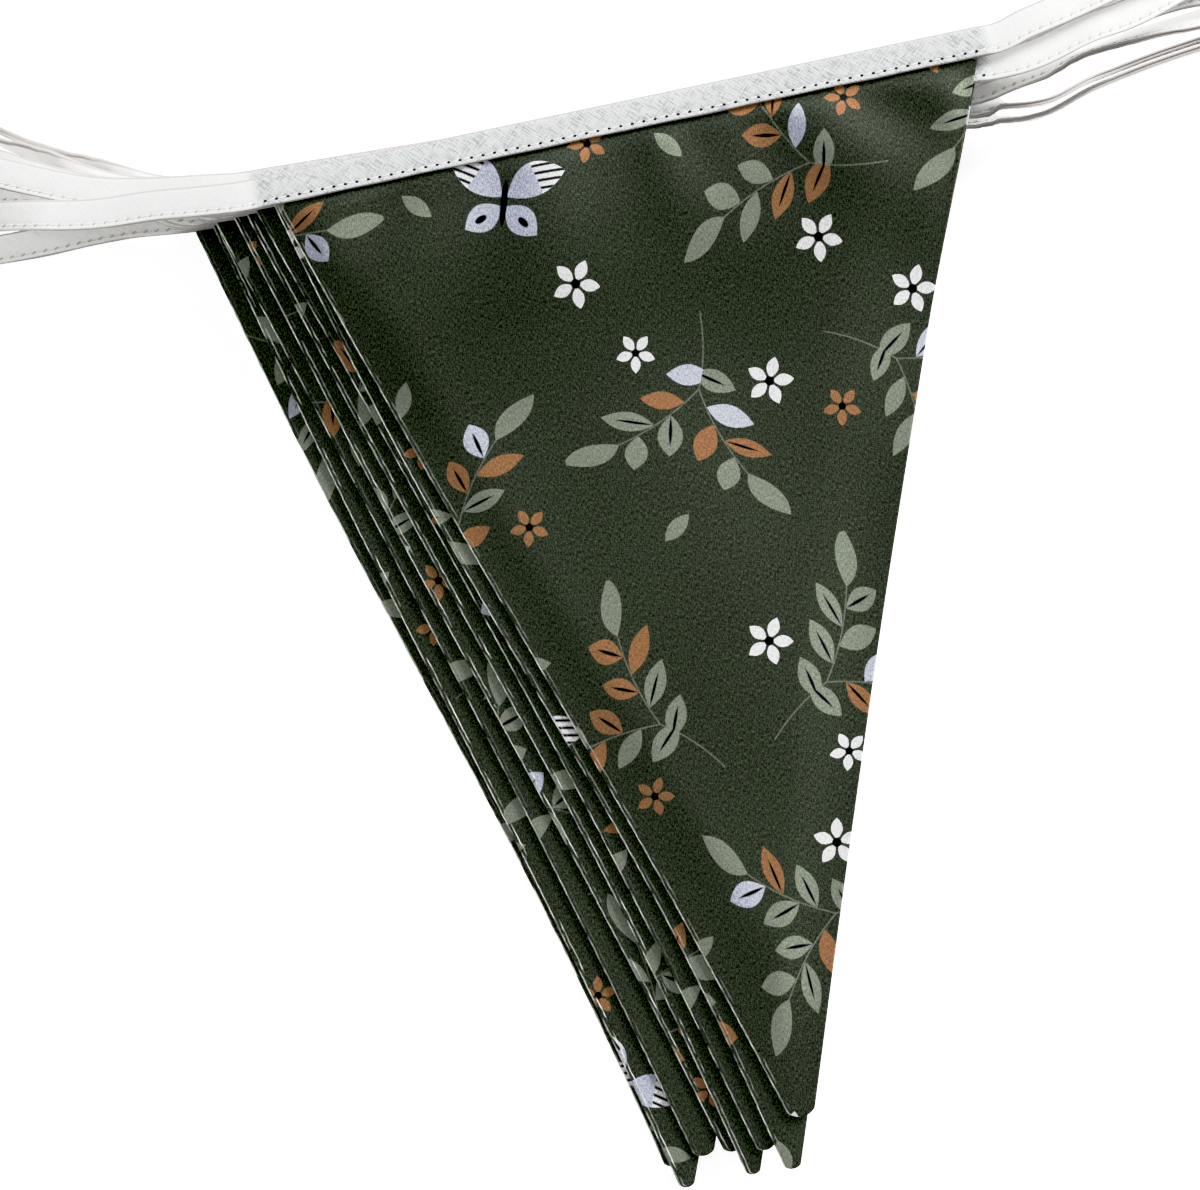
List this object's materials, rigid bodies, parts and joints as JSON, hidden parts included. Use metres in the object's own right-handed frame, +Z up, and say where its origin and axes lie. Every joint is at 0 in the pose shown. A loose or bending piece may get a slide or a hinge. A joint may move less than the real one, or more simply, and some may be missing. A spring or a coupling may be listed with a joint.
{
  "type": "fabric bunting",
  "caption": "Handmade cloth bunting of double-sided printed cotton flags sewn into a white folded binding tape, folded up into a fanned pile and laid flat.",
  "frame": {"origin": "on the flat underside of the lowest flag, where it rests on the surface, near the middle of the pile", "axes": "+X along the top flag's tape, +Y from the flags' tips to the tape, +Z up from the surface"},
  "size_m": [0.4081, 0.2944, 0.0237],
  "materials": {
    "flag_cotton": "dark green printed quilting cotton, matt, with a tossed motif of sprigs, small blossoms and butterflies",
    "tape_cotton": "white bias-cut cotton binding, matt, with a fine crosshatched weave"
  },
  "bodies": {
    "root": {"flag_01": "flag_cotton", "flag_02": "flag_cotton", "flag_03": "flag_cotton", "flag_04": "flag_cotton", "flag_05": "flag_cotton", "flag_06": "flag_cotton", "flag_07": "flag_cotton", "flag_08": "flag_cotton", "binding_tape": "tape_cotton"}
  },
  "joints": []
}
